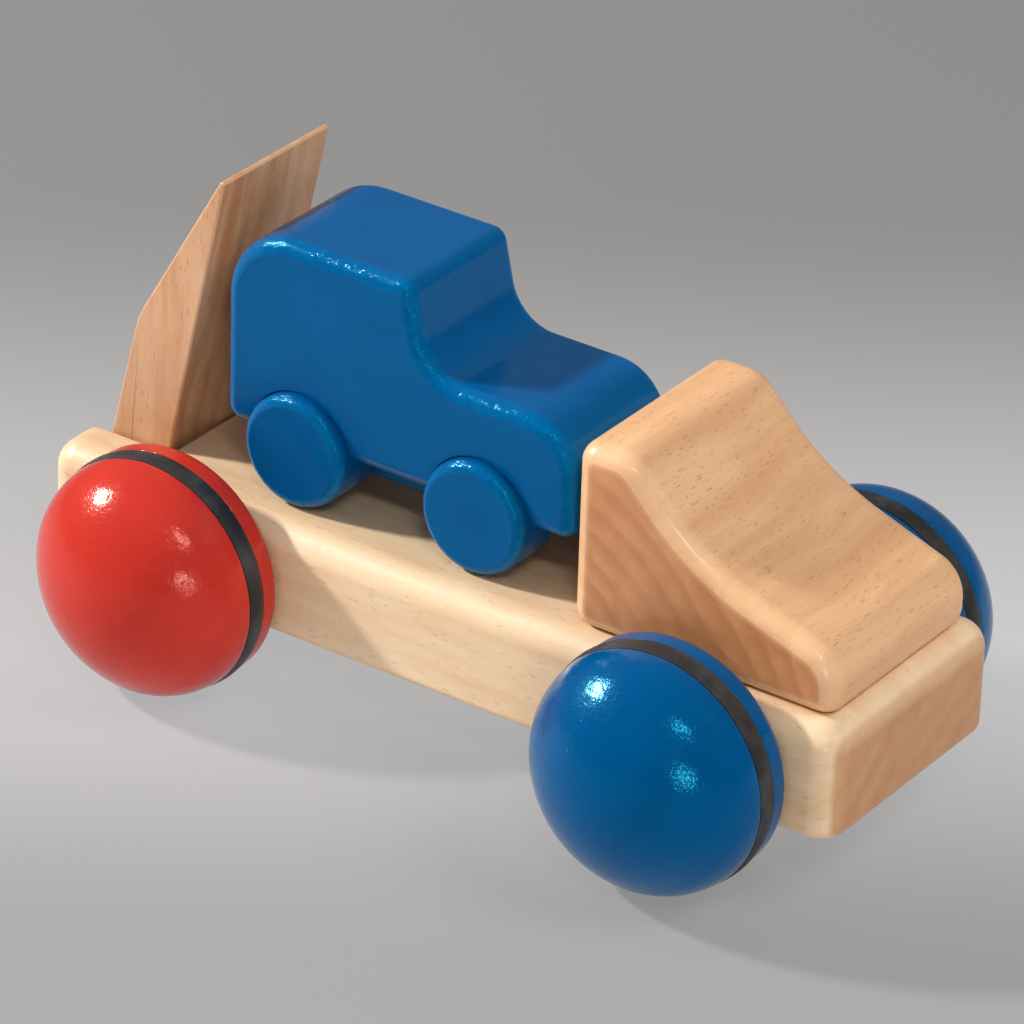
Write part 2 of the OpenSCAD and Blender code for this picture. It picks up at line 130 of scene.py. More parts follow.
def makeBeechGroup(rate):
    # Grain is in mm with X along the fibres. Long streaks, growth rings round the pith, short dark
    # ray flecks and fine pores. End is 1 where the fibres are cut across. The edge input is 1 on rounded
    # edges,
    # which turn paler there: a painted highlight where the rounds catch the light, partly handling wear
    tree, inp, out = newGroup("beechGrain", beechGroupInputs, finishOutputs)
    drift = vecCalc(tree, "SUBTRACT", noise(tree, inp["Grain"], 0.03, 2.0, out=1), (0.5, 0.5, 0.5))
    wavy = vecCalc(tree, "ADD", inp["Grain"], vecCalc(tree, "MULTIPLY", drift, (0, 8, 8)))

    streak = noise(tree, vecCalc(tree, "MULTIPLY", wavy, rate["streak"]), 1.0, 4.0, 0.6)
    fibre = noise(tree, vecCalc(tree, "MULTIPLY", wavy, rate["fibre"]), 1.0, 3.0, 0.6)
    patch = noise(tree, inp["Grain"], 0.05, 2.0, 0.5)

    across = vecCalc(tree, "MULTIPLY", vecCalc(tree, "SUBTRACT", wavy, inp["Pith"]), (0, 1, 1))
    radius = vecCalc(tree, "LENGTH", across, out=1)
    phase = calc(tree, "FRACT", calc(tree, "DIVIDE", radius, inp["Ring Width"]))
    rise = remap(tree, phase, 0.1, 0.75)
    fall = remap(tree, phase, 0.72, 1.0, 1.0, 0.0)
    ring = calc(tree, "MULTIPLY", calc(tree, "MULTIPLY", rise, fall), inp["Ring Depth"])
    ring = calc(tree, "MULTIPLY", ring, remap(tree, patch, 0.3, 0.65, 0.35, 1.0))
    ring = calc(tree, "MULTIPLY", ring, calc(tree, "MULTIPLY_ADD", inp["End"], 0.6, 0.4))

    spread = vecCalc(tree, "MULTIPLY", wavy, rate["fleck"])
    cells = addNode(tree, "ShaderNodeTexVoronoi", {"Vector": spread, "Scale": 1.0})
    pick = addNode(tree, "ShaderNodeSeparateColor", {0: cells.outputs["Color"]})
    reach = calc(tree, "MULTIPLY_ADD", pick.outputs[0], 0.22, 0.2)
    dash = remap(tree, calc(tree, "DIVIDE", cells.outputs["Distance"], reach), 0.5, 1.05, 1.0, 0.0)
    kept = calc(tree, "LESS_THAN", pick.outputs[1], inp["Fleck Share"])
    tone = calc(tree, "MULTIPLY_ADD", pick.outputs[2], 0.65, 0.35)
    fleck = calc(tree, "MULTIPLY", calc(tree, "MULTIPLY", dash, kept), tone)
    crowd = noise(tree, vecCalc(tree, "MULTIPLY", wavy, rate["crowd"]), 1.0, 2.0)
    fleck = calc(tree, "MULTIPLY", fleck, remap(tree, crowd, 0.3, 0.6, 0.3, 1.0))
    fleck = calc(tree, "MULTIPLY", fleck, calc(tree, "MULTIPLY_ADD", inp["End"], -0.75, 1.0))
    fleckDeep = calc(tree, "MULTIPLY", fleck, inp["Fleck Depth"])

    spread = vecCalc(tree, "MULTIPLY", wavy, rate["pore"])
    pores = addNode(tree, "ShaderNodeTexVoronoi", {"Vector": spread, "Scale": 1.0})
    pore = remap(tree, pores.outputs["Distance"], 0.08, 0.32, 1.0, 0.0)

    colour = mixColour(tree, remap(tree, streak, 0.3, 0.72), inp["Pale"], inp["Warm"])
    deep = mixColour(tree, 1.0, inp["Warm"], (0.82, 0.70, 0.58, 1), "MULTIPLY")
    colour = mixColour(tree, ring, colour, deep)
    colour = mixColour(tree, remap(tree, fibre, 0.35, 0.75, 0.0, 0.2), colour, inp["Warm"])
    colour = mixColour(tree, calc(tree, "MULTIPLY", pore, 0.1), colour, inp["Fleck"])
    colour = mixColour(tree, fleckDeep, colour, inp["Fleck"])
    cutTone = mixColour(tree, 1.0, colour, inp["Cut"], "MULTIPLY")
    cutTone = mixColour(tree, remap(tree, patch, 0.3, 0.7, 0.0, 0.3), cutTone, deep)
    colour = mixColour(tree, inp["End"], colour, cutTone)
    # Rounded edges turn paler: painted highlight where the rounds catch the light, partly handling wear
    rubbedAndLit = calc(tree, "MULTIPLY", inp["Wear And Sheen"], remap(tree, fibre, 0.25, 0.7, 0.45, 0.8))
    colour = mixColour(tree, rubbedAndLit, colour, inp["Pale"])
    tree.links.new(colour, out["Colour"])

    rough = calc(tree, "MULTIPLY_ADD", fibre, 0.14, 0.38)
    rough = calc(tree, "MULTIPLY_ADD", fleck, 0.12, rough)
    rough = calc(tree, "MULTIPLY_ADD", inp["Wear And Sheen"], -0.08, rough)
    tree.links.new(calc(tree, "MULTIPLY_ADD", inp["End"], 0.08, rough), out["Roughness"])

    height = calc(tree, "MULTIPLY_ADD", fibre, 0.35, calc(tree, "MULTIPLY", fleck, -0.8))
    tree.links.new(calc(tree, "MULTIPLY_ADD", pore, -0.25, height), out["Height"])
    return tree


lacquerGroupInputs = [
    ("Place", "vector", (0, 0, 0)),
    ("Paint", "colour", (0.1, 0.1, 0.1, 1)),
    ("Thin", "colour", (0.1, 0.1, 0.1, 1)),
    ("Gloss", "value", 0.2),
    ("Peel", "value", 1.0),
    ("Wear And Sheen", "value", 0.0),
]


def makeLacquerGroup():
    # Brushed lacquer on wood: a slow drift between the full and the thin tone, an orange-peel skin,
    # faint ridges of the wood below along X and a few dust grains. The edge input is 1 on rounded edges,
    # where
    # the tone turns lighter: a painted highlight band, partly paint worn thin
    tree, inp, out = newGroup("woodLacquer", lacquerGroupInputs, finishOutputs)
    drift = noise(tree, inp["Place"], 0.045, 3.0, 0.55)
    skin = noise(tree, inp["Place"], 0.62, 2.0, 0.45)
    fine = noise(tree, inp["Place"], 2.3, 2.0, 0.5)
    ridge = noise(tree, vecCalc(tree, "MULTIPLY", inp["Place"], (0.05, 1.1, 1.1)), 1.0, 3.0, 0.55)
    grains = addNode(tree, "ShaderNodeTexVoronoi", {"Vector": inp["Place"], "Scale": 0.55})
    grain = remap(tree, grains.outputs["Distance"], 0.05, 0.11, 1.0, 0.0)

    colour = mixColour(tree, remap(tree, drift, 0.35, 0.7, 0.0, 0.8), inp["Paint"], inp["Thin"])
    colour = mixColour(tree, remap(tree, ridge, 0.45, 0.75, 0.0, 0.25), colour, inp["Thin"])
    # Rounded edges turn lighter: a painted highlight band, partly paint worn thin
    wornAndLit = calc(tree, "MULTIPLY", inp["Wear And Sheen"], remap(tree, skin, 0.3, 0.7, 0.4, 1.0))
    bright = mixColour(tree, 1.0, inp["Thin"], (1.25, 1.35, 1.2, 1), "MULTIPLY")
    colour = mixColour(tree, wornAndLit, colour, bright)
    tree.links.new(colour, out["Colour"])

    rough = calc(tree, "MULTIPLY_ADD", drift, 0.06, inp["Gloss"])
    rough = calc(tree, "ADD", rough, remap(tree, fine, 0.35, 0.65, 0.0, 0.12))
    tree.links.new(calc(tree, "MULTIPLY_ADD", grain, 0.12, rough), out["Roughness"])

    height = calc(tree, "MULTIPLY_ADD", skin, 0.8, calc(tree, "MULTIPLY", fine, 0.35))
    height = calc(tree, "MULTIPLY_ADD", ridge, 0.4, height)
    height = calc(tree, "MULTIPLY_ADD", grain, 0.4, height)
    skinDepth = calc(tree, "MULTIPLY", inp["Peel"], calc(tree, "MULTIPLY_ADD", inp["Wear And Sheen"], 2.4, 0.45))
    tree.links.new(calc(tree, "MULTIPLY", height, skinDepth), out["Height"])
    return tree


beechGroup = makeBeechGroup(grainRate)
lacquerGroup = makeLacquerGroup()
print("finishes: beech grain and wood lacquer groups")


def newMaterial(name):
    # A material with its Principled shader and a source of places on the object
    material = bpy.data.materials.new(name)
    material.use_nodes = True
    tree = material.node_tree
    shader = next(n for n in tree.nodes if n.type == "BSDF_PRINCIPLED")
    place = addNode(tree, "ShaderNodeTexCoord")
    return material, tree, shader, place


def fillGroup(tree, group, values):
    # One use of a shared group, with this material's own values
    return addNode(tree, "ShaderNodeGroup", values, node_tree=group).outputs


bumpDepth = 0.0001  # metres for a height of 1


def useBump(tree, shader, height, strength):
    # A height in shares of bumpDepth tilts the shading
    bump = addNode(tree, "ShaderNodeBump", {"Height": height, "Strength": strength, "Distance": bumpDepth})
    tree.links.new(bump.outputs[0], shader.inputs["Normal"])


def useFinish(tree, shader, finish, bumpStrength):
    # A group's colour, roughness and skin go into the shader
    tree.links.new(finish["Colour"], shader.inputs["Base Color"])
    tree.links.new(finish["Roughness"], shader.inputs["Roughness"])
    useBump(tree, shader, finish["Height"], bumpStrength)


def edgeWearAndSheen(tree):
    # 1 on the rounded edges of a piece, where a paler tone gives a painted highlight and handling wear; 0
    # on its flats
    return addNode(tree, "ShaderNodeAttribute", attribute_name="edgeWearAndSheen").outputs["Fac"]


def makeBeech(name, turn, shift, look, coat=0.25, endSpan=(0.86, 0.985)):
    # turn brings the fibres onto X, shift picks another part of the tree for each piece, and a face
    # counts as end grain as its normal comes into line with the fibres
    material, tree, shader, place = newMaterial(name)
    spot = {"Vector": place.outputs["Object"], "Location": shift, "Rotation": turn, "Scale": perMm}
    grain = addNode(tree, "ShaderNodeMapping", spot)
    tilt = {"Vector": place.outputs["Normal"], "Rotation": turn}
    facing = addNode(tree, "ShaderNodeMapping", tilt, vector_type="NORMAL")
    ends = addNode(tree, "ShaderNodeSeparateXYZ", {0: facing.outputs[0]})
    cut = remap(tree, calc(tree, "ABSOLUTE", ends.outputs[0]), *endSpan)
    values = {"Grain": grain.outputs[0], "End": cut, "Wear And Sheen": edgeWearAndSheen(tree), **look}
    finish = fillGroup(tree, beechGroup, values)
    useFinish(tree, shader, finish, 0.35)
    shader.inputs["Coat Weight"].default_value = coat
    shader.inputs["Coat Roughness"].default_value = 0.16
    return material


def makeLacquer(name, look, mirrorTint, shift=(0, 0, 0)):
    # Stained lacquer: its shine has the paint's hue
    material, tree, shader, place = newMaterial(name)
    links = {"Vector": place.outputs["Object"], "Location": shift, "Scale": perMm}
    spot = addNode(tree, "ShaderNodeMapping", links)
    finish = fillGroup(tree, lacquerGroup, {"Place": spot.outputs[0], "Wear And Sheen": edgeWearAndSheen(tree), **look})
    useFinish(tree, shader, finish, 1.0)
    shader.inputs["Specular IOR Level"].default_value = 0.5
    shader.inputs["Specular Tint"].default_value = mirrorTint
    return material


ringRubber = {"dark": (0.016, 0.016, 0.017, 1), "dusty": (0.05, 0.05, 0.052, 1), "rough": 0.5}


def makeRubber(name, look):
    # Black rubber with a dusty bloom in clouds and fine pits
    material, tree, shader, place = newMaterial(name)
    links = {"Vector": place.outputs["Object"], "Scale": perMm}
    spot = addNode(tree, "ShaderNodeMapping", links).outputs[0]
    bloom = noise(tree, spot, 0.12, 4.0, 0.6)
    pit = noise(tree, spot, 2.6, 2.0, 0.5)
    colour = mixColour(tree, remap(tree, bloom, 0.4, 0.75), look["dark"], look["dusty"])
    tree.links.new(colour, shader.inputs["Base Color"])
    rough = calc(tree, "MULTIPLY_ADD", bloom, 0.2, look["rough"] - 0.2)
    rough = calc(tree, "MULTIPLY_ADD", pit, 0.2, rough)
    tree.links.new(rough, shader.inputs["Roughness"])
    useBump(tree, shader, pit, 0.3)
    return material


quarter = np.pi / 2
boardLook = {
    "Pale": (0.83, 0.64, 0.425, 1),
    "Warm": (0.73, 0.49, 0.275, 1),
    "Pith": (0, 70, -95),
    "Ring Width": 6.5,
    "Ring Depth": 0.28,
    "Fleck Share": 0.6,
    "Fleck Depth": 0.5,
    "Cut": (0.66, 0.455, 0.34, 1),
}
cabLook = {
    "Pale": (0.81, 0.50, 0.27, 1),
    "Warm": (0.67, 0.365, 0.18, 1),
    "Pith": (0, 2, 37),
    "Ring Width": 5.2,
    "Ring Depth": 0.65,
    "Fleck Share": 0.85,
    "Fleck Depth": 0.62,
}
rampLook = {
    "Pale": (0.68, 0.425, 0.24, 1),
    "Warm": (0.53, 0.245, 0.108, 1),
    "Pith": (0, -70, 50),
    "Ring Width": 5.5,
    "Ring Depth": 0.8,
    "Fleck Share": 0.5,
    "Fleck Depth": 0.75,
}
dowelLook = {"Pale": (0.74, 0.53, 0.33, 1), "Warm": (0.62, 0.41, 0.23, 1), "Fleck Share": 0.08}
carBlue = {"Paint": (0.0, 0.073, 0.235, 1), "Thin": (0.0, 0.086, 0.26, 1), "Gloss": 0.07, "Peel": 0.9}
wheelBlue = {"Paint": (0.0, 0.068, 0.215, 1), "Thin": (0.0, 0.08, 0.24, 1), "Gloss": 0.07, "Peel": 2.0}
wheelRed = {"Paint": (0.48, 0.027, 0.017, 1), "Thin": (0.53, 0.033, 0.021, 1), "Gloss": 0.07, "Peel": 2.0}

boardBeech = makeBeech("boardBeech", (0, 0, 0), (0, 0, 0), boardLook, endSpan=(0.7, 0.88))
cabBeech = makeBeech("cabBeech", (0, 0, -quarter), (40, 11, 23), cabLook, endSpan=(0.95, 0.985))
rampBeech = makeBeech("rampBeech", (0, quarter, 0), (17, 60, 5), rampLook, endSpan=(0.985, 1.0))
dowelWood = makeBeech("dowelWood", (0, 0, -quarter), (3, 7, 31), dowelLook, coat=0.05)
uprightDowelWood = makeBeech("uprightDowelWood", (0, quarter, 0), (9, 4, 2), dowelLook, coat=0.05)
blueShine, redShine = (0.04, 0.72, 1.0, 1), (1.0, 0.5, 0.45, 1)
carLacquer = makeLacquer("carLacquer", carBlue, blueShine)
blueLacquer = makeLacquer("blueWheelLacquer", wheelBlue, blueShine, shift=(31, 5, 12))
redLacquer = makeLacquer("redWheelLacquer", wheelRed, redShine)
blackRubber = makeRubber("blackRubber", ringRubber)
print("materials: %d" % len(bpy.data.materials))


def unit(v):
    # Vector divided by its length
    return v / np.linalg.norm(v, axis=-1, keepdims=True)


def cornerArcs(corners, steps):
    # Each corner (a, b, radius) becomes an arc that touches both its sides.
    # Gives points and outward normals as corners x steps x 2, counter-clockwise
    c = np.asarray(corners, float)
    at, radius = c[:, :2], c[:, 2:]
    toLast = unit(np.roll(at, 1, axis=0) - at)
    toNext = unit(np.roll(at, -1, axis=0) - at)
    half = np.arccos(np.sum(toLast * toNext, axis=1, keepdims=True)) / 2
    centre = at + unit(toLast + toNext) * radius / np.sin(half)
    arm = at + toLast * radius / np.tan(half) - centre
    side = np.sign(toNext[:, :1] * toLast[:, 1:] - toNext[:, 1:] * toLast[:, :1])
    turn = side * (np.pi - 2 * half) * np.linspace(0, 1, steps)
    cos, sin = np.cos(turn), np.sin(turn)
    arms = np.stack([arm[:, :1] * cos - arm[:, 1:] * sin, arm[:, :1] * sin + arm[:, 1:] * cos], axis=-1)
    return centre[:, None] + arms, (side / radius)[:, :, None] * arms


def quarterRound(radius, steps):
    # Distance from the face and step in from the side, along a quarter circle
    turn = np.linspace(0, quarter, steps)
    return radius * (1 - np.sin(turn)), radius * (1 - np.cos(turn))


# Masks for the paler edge tone: a painted highlight on the rounds, with some wear
def roundWearSheenMask(depth, radius):
    # 1 in the middle of a rounded edge and 0 at both its ends, by depth below the face
    a = np.clip((radius - depth) / radius, 0, 1)
    return 2 * a * np.sqrt(1 - a**2)


def cornerWearSheenMask(strength, steps):
    # The same along the arcs of an outline, with a strength for each corner
    return np.ravel(np.array(strength)[:, None] * np.sin(np.linspace(0, np.pi, steps)))


def stepIn(depth, radius):
    # Step in of a rounded edge, at a depth below the face that it runs into
    inside = np.clip(radius - depth, 0, radius)
    return radius - np.sqrt(radius**2 - inside**2)


def gridQuads(rows, columns, closed=False):
    # A four-sided face for each cell of a grid whose columns run round, and its rows too if closed
    j, i = np.mgrid[0 : rows if closed else rows - 1, 0:columns]
    here, below, beside = j * columns, (j + 1) % rows * columns, (i + 1) % columns
    quads = np.stack([here + i, here + beside, below + beside, below + i], axis=-1)
    return quads.reshape(-1, 4).tolist()


def cappedGrid(points):
    # Rows x columns x 3, each row a closed loop; the first and last row are closed by a face
    rows, columns = points.shape[:2]
    last = (rows - 1) * columns
    caps = [list(range(columns))[::-1], list(range(last, last + columns))]
    return points.reshape(-1, 3), gridQuads(rows, columns) + caps


def boxMm(node):
    # A CAD node's lowest and highest corner
    low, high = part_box(node)
    return np.array(low) / mm, np.array(high) / mm


meshCare = {"merge": 2e-6, "cut": 1e-7, "sharpDegrees": 38}


def addPiece(name, points, faces, material, body, stands, wearSheen=None, cutBelow=None):
    # Points in mm and faces become an object that rides on a body and stands for CAD nodes.
    # What lies under the height cutBelow is cut off and closed
    mesh = bpy.data.meshes.new(name)
    mesh.from_pydata((points * mm).tolist(), [], faces)
    # Edge mask for the paler tone: a painted highlight on the rounds, partly wear
    if wearSheen is not None:
        values = mesh.attributes.new("edgeWearAndSheen", "FLOAT", "POINT").data
        values.foreach_set("value", wearSheen.ravel().astype(np.float32))
    work = bmesh.new()
    work.from_mesh(mesh)
    bmesh.ops.remove_doubles(work, verts=work.verts, dist=meshCare["merge"])
    if cutBelow is not None:
        bmesh.ops.bisect_plane(
            work,
            geom=work.verts[:] + work.edges[:] + work.faces[:],
            dist=meshCare["cut"],
            plane_co=(0, 0, cutBelow * mm),
            plane_no=(0, 0, -1),
            clear_outer=True,
        )
        bmesh.ops.holes_fill(work, edges=[e for e in work.edges if e.is_boundary])
    bmesh.ops.recalc_face_normals(work, faces=work.faces)
    work.to_mesh(mesh)
    work.free()
    mesh.shade_smooth()
    mesh.set_sharp_from_angle(angle=np.radians(meshCare["sharpDegrees"]))
    mesh.materials.append(material)
    piece = bpy.data.objects.new(name, mesh)
    bpy.context.scene.collection.objects.link(piece)
    flat = piece.modifiers.new("flatFaces", "WEIGHTED_NORMAL")  # keeps large flats flat beside the rounds
    flat.keep_sharp = True
    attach(piece, body)
    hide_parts(*stands)
    return piece


board = {
    "edgeRound": 6.0,
    "lowRound": 2.5,
    "slotHalf": 18.0,
    "slotEnd": -73.162,
    "slotEase": 0.7,
    "cornerSteps": 15,
    "lowSteps": 9,
    "easeSteps": 5,
    # Strengths of the paler edge tone: a painted highlight on the rounds, partly handling wear
    "uprightWearAndSheen": [0.2, 0.2, 0.7, 0.5, 0, 0, 0.5, 0.7],
    "topWearAndSheen": 0.7,
    "lowWearAndSheen": 0.4,
}


def makeChassis(look):
    # Stack of plan outlines, one for each height. The outer sides step in by a wide round above and a
    # small one below, and the sides of the ramp's slot by a small ease
    low, high = boxMm("chassis")
    x0, x1, w, s = low[0], high[0], high[1], look["slotHalf"]
    r, e, x2 = look["edgeRound"], look["slotEase"], look["slotEnd"]
    front, tail = [(x1, -w, r), (x1, w, r), (x0, w, r)], [(x0, -w, r)]
    corners = front + [(x0, s, e), (x2, s, e), (x2, -s, e), (x0, -s, e)] + tail
    outline, normal = cornerArcs(corners, look["cornerSteps"])
    outer, slot = np.zeros_like(outline), np.zeros_like(outline)
    outer[[0, 1, 2, 7]] = normal[[0, 1, 2, 7]]
    slot[[4, 5]] = normal[[4, 5]]
    outer[[3, 6]] = (-1, 0)
    slot[3], slot[6] = (0, -1), (0, 1)

    ease = quarterRound(e, look["easeSteps"])[0]
    under = np.union1d(quarterRound(look["lowRound"], look["lowSteps"])[0], ease)
    above = np.union1d(quarterRound(r, look["cornerSteps"])[0], ease)
    z = np.concatenate([low[2] + under, (high[2] - above)[::-1]])
    outerIn = stepIn(z - low[2], look["lowRound"]) + stepIn(high[2] - z, r)
    slotIn = stepIn(z - low[2], e) + stepIn(high[2] - z, e)
    flat = [a.reshape(1, -1, 2) for a in (outline, outer, slot)]
    plan = flat[0] - flat[1] * outerIn[:, None, None] - flat[2] * slotIn[:, None, None]
    heights = np.broadcast_to(z[:, None, None], plan.shape[:2] + (1,))
    points, faces = cappedGrid(np.concatenate([plan, heights], axis=-1))
    # Paler tone on the rounded edges: a painted highlight, partly handling wear
    upright = cornerWearSheenMask(look["uprightWearAndSheen"], look["cornerSteps"])
    level = look["topWearAndSheen"] * roundWearSheenMask(high[2] - z, r)
    level = level + look["lowWearAndSheen"] * roundWearSheenMask(z - low[2], look["lowRound"])
    wearSheen = np.maximum(level[:, None], upright)
    wearSheen[[0, -1]] = 0  # flat top and underside carry none
    return addPiece("chassisBoard", points, faces, boardBeech, "truck", ["chassis"], wearSheen)


makeChassis(board)
print("chassis: board with ramp slot")


# Strength of the paler tone on rounded side edges: a painted highlight, partly handling wear
sideWearAndSheen = 0.8  # along the sides of the cab and the ramp


def slab(corners, width, edgeRound, arcSteps, edgeSteps, cornerWearAndSheen):
    # An outline in x and z carried across y. Towards each side it steps in along a quarter circle
    outline, normal = cornerArcs(corners, arcSteps)
    outline, normal = outline.reshape(1, -1, 2), normal.reshape(1, -1, 2)
    inward, outward = quarterRound(edgeRound, edgeSteps)
    y = np.concatenate([outward - width / 2, (width / 2 - outward)[::-1]])
    inset = np.concatenate([inward, inward[::-1]])
    section = outline - normal * inset[:, None, None]
    across = np.broadcast_to(y[:, None], section.shape[:2])
    # Paler tone on rounded edges and corners: a painted highlight, partly handling wear
    wearSheen = np.maximum(sideWearAndSheen * roundWearSheenMask(inset, edgeRound)[:, None], cornerWearSheenMask(cornerWearAndSheen, arcSteps))
    wearSheen[[0, -1]] = 0  # flat sides carry none
    return np.stack([section[..., 0], across, section[..., 1]], axis=-1), wearSheen


cabBlock = {
    "roofLength": 12.6,
    "noseHeight": 12.4,
    "screenFoot": (28.8, 23.8),
    "screenRound": 54.0,
    "roofRound": 8.0,
    "noseRound": 9.0,
    "edgeRound": 4.6,
    "sink": 0.5,
    "arcSteps": 17,
    "edgeSteps": 13,
    # Per-corner strength of the paler edge tone: a painted highlight, partly wear
    "cornerWearAndSheen": [0.2, 0.2, 0.3, 0, 0.4, 0.8],
}


def makeCab(look):
    # Side outline of six corners, each an arc, the windscreen's a wide hollow one. It is carried across the
    # truck and cut off flat at the bed
    low, high = boxMm("cab")
    length, width, height = high - low
    r = look["edgeRound"]
    footX, footZ = look["screenFoot"]
    corners = [
        (0, -look["sink"], r),
        (length, -look["sink"], r),
        (length, look["noseHeight"], look["noseRound"]),
        (footX, footZ, look["screenRound"]),
        (look["roofLength"], height, look["roofRound"]),
        (0, height, r),
    ]
    points, wearSheen = slab(corners, width, r, look["arcSteps"], look["edgeSteps"], look["cornerWearAndSheen"])
    points, faces = cappedGrid(points + np.array([low[0], 0, low[2]]))
    return addPiece("cabBlock", points, faces, cabBeech, "truck", ["cab"], wearSheen, cutBelow=low[2])


rampWedge = {
    "hinge": (-83.755, 30.5),
    "lean": 12.0,
    "thick": 15.0,
    "tipThick": 1.1,
    "reach": 78.27,
    "shoulder": (-6.5, 38.0),
    "shoulderRound": 22.0,
    "ease": 0.5,
    "arcSteps": 15,
    "edgeSteps": 6,
    # Per-corner strength of the paler edge tone: a painted highlight, partly wear
    "cornerWearAndSheen": [0, 1, 1, 0, 0],
}


def makeRamp(look):
    # Side outline of five corners, drawn upright round the hinge, carried across, then leaned forward by
    # turning x and z about the hinge
    low, high = boxMm("ramp")
    half, tip, up, e = look["thick"] / 2, look["tipThick"], look["reach"], look["ease"]
    corners = [
        (half, -half, half),
        (half, up, e),
        (half - tip, up, e),
        (look["shoulder"][0], look["shoulder"][1], look["shoulderRound"]),
        (-half, -half, half),
    ]
    upright, wearSheen = slab(corners, high[1] - low[1], e, look["arcSteps"], look["edgeSteps"], look["cornerWearAndSheen"])
    cos, sin = np.cos(np.radians(look["lean"])), np.sin(np.radians(look["lean"]))
    x, y, z = np.moveaxis(upright, -1, 0)
    hingeX, hingeZ = look["hinge"]
    leaned = np.stack([hingeX + x * cos + z * sin, y, hingeZ - x * sin + z * cos], axis=-1)
    points, faces = cappedGrid(leaned)
    return addPiece("rampWedge", points, faces, rampBeech, "ramp", ["ramp"], wearSheen)


makeCab(cabBlock)
makeRamp(rampWedge)
print("cab block and ramp wedge")


def arc(centreA, centreB, radius, fromDeg, toDeg, steps):
    # Centre plus radius times cosine and sine, in even steps of angle
    turn = np.radians(np.linspace(fromDeg, toDeg, steps))
    return np.stack([centreA + radius * np.cos(turn), centreB + radius * np.sin(turn)], axis=-1)


def turned(section, x, y, z, side, steps):
    # A half section (radius, height) turned round an axis along y; height runs outwards on that side
    turn = np.linspace(0, 2 * np.pi, steps, endpoint=False)
    radius, height = section[:, :1], section[:, 1:]
    across = np.broadcast_to(y + side * height, (len(section), steps))
    return np.stack([x + radius * np.cos(turn), across, z + radius * np.sin(turn)], axis=-1)


wheel = {
    "rimWidth": 5.4,
    "rimStep": 0.4,
    "rimRound": 2.5,
    "grooveWidth": 4.4,
    "ringThick": 3.7,
    "domeStep": 0.4,
    "domeRise": 19.7,
    "shoulder": 14.5,
    "edgeBreak": 0.35,
    "steps": 160,
    "flatSteps": 8,
    "rimSteps": 9,
    "breakSteps": 5,
    "domeSteps": 34,
}
ring = {"crown": 6.0, "gap": 0.04, "steps": 160, "crownSteps": 15}


def wheelSection(look, tyreR):
    # Flat inner face, rim, ring groove, then a shoulder arc that runs into a wider crown arc
    rimR, grooveR, domeR = tyreR - look["rimStep"], tyreR - look["ringThick"], tyreR - look["domeStep"]
    rimW, rise, s, b = look["rimWidth"], look["domeRise"], look["shoulder"], look["edgeBreak"]
    soft, few, many = look["rimRound"], look["breakSteps"], look["domeSteps"]
    foot = rimW + look["grooveWidth"]
    shoulderX = domeR - s
    crownR = (shoulderX**2 / (rise - s) + rise + s) / 2
    join = np.degrees(np.arctan2(crownR - rise, shoulderX))
    lift = np.degrees(np.arcsin(b / s))
    flat = np.stack([np.linspace(0, rimR - soft, look["flatSteps"]), np.zeros(look["flatSteps"])], axis=-1)
    return np.concatenate(
        [
            flat[:-1],
            arc(rimR - soft, soft, soft, -90, 0, look["rimSteps"]),
            arc(rimR - b, rimW - b, b, 0, 90, few),
            [[grooveR, rimW], [grooveR, foot]],
            arc(domeR - b, foot + b, b, -90, 0, few)[:-1],
            arc(shoulderX, foot, s, lift, join, many)[:-1],
            arc(0, foot + rise - crownR, crownR, join, 90, many),
        ]
    )


def ringSection(look, wheelLook, tyreR):
    # Closed section: floor and sides in the groove, and a crown that stands a little proud
    floor = tyreR - wheelLook["ringThick"] + look["gap"]
    half = wheelLook["grooveWidth"] / 2 - look["gap"]
    middle = wheelLook["rimWidth"] + wheelLook["grooveWidth"] / 2
    edge = np.degrees(np.arcsin(half / look["crown"]))
    crown = arc(tyreR - look["crown"], middle, look["crown"], -edge, edge, look["crownSteps"])
    return np.concatenate([[[floor, middle + half], [floor, middle - half]], crown])


wheelPaint = {"front": (blueLacquer, "blue_paint"), "rear": (redLacquer, "red_paint")}
sides = (("right", -1), ("left", 1))
for axle in ("front", "rear"):
    paint, slotName = wheelPaint[axle]
    for sideName, side in sides:
        label, body = axle + sideName.title(), axle + "_wheels"
        wheelNode, tyreNode = "%s_%s_wheel" % (axle, sideName), "%s_%s_tyre" % (axle, sideName)
        wheelLow, wheelHigh = boxMm(wheelNode)
        tyreLow, tyreHigh = boxMm(tyreNode)
        tyreR = (tyreHigh[2] - tyreLow[2]) / 2
        x, z = (wheelLow[0] + wheelHigh[0]) / 2, (wheelLow[2] + wheelHigh[2]) / 2
        y = wheelLow[1] if side > 0 else wheelHigh[1]
        dome = turned(wheelSection(wheel, tyreR), x, y, z, side, wheel["steps"])
        faces = gridQuads(*dome.shape[:2])
        addPiece(label + "Dome", dome.reshape(-1, 3), faces, paint, body, [wheelNode])
        band = turned(ringSection(ring, wheel, tyreR), x, y, z, side, ring["steps"])
        faces = gridQuads(*band.shape[:2], closed=True)
        addPiece(label + "Ring", band.reshape(-1, 3), faces, blackRubber, body, [tyreNode])
print("four domed wheels with rubber rings")


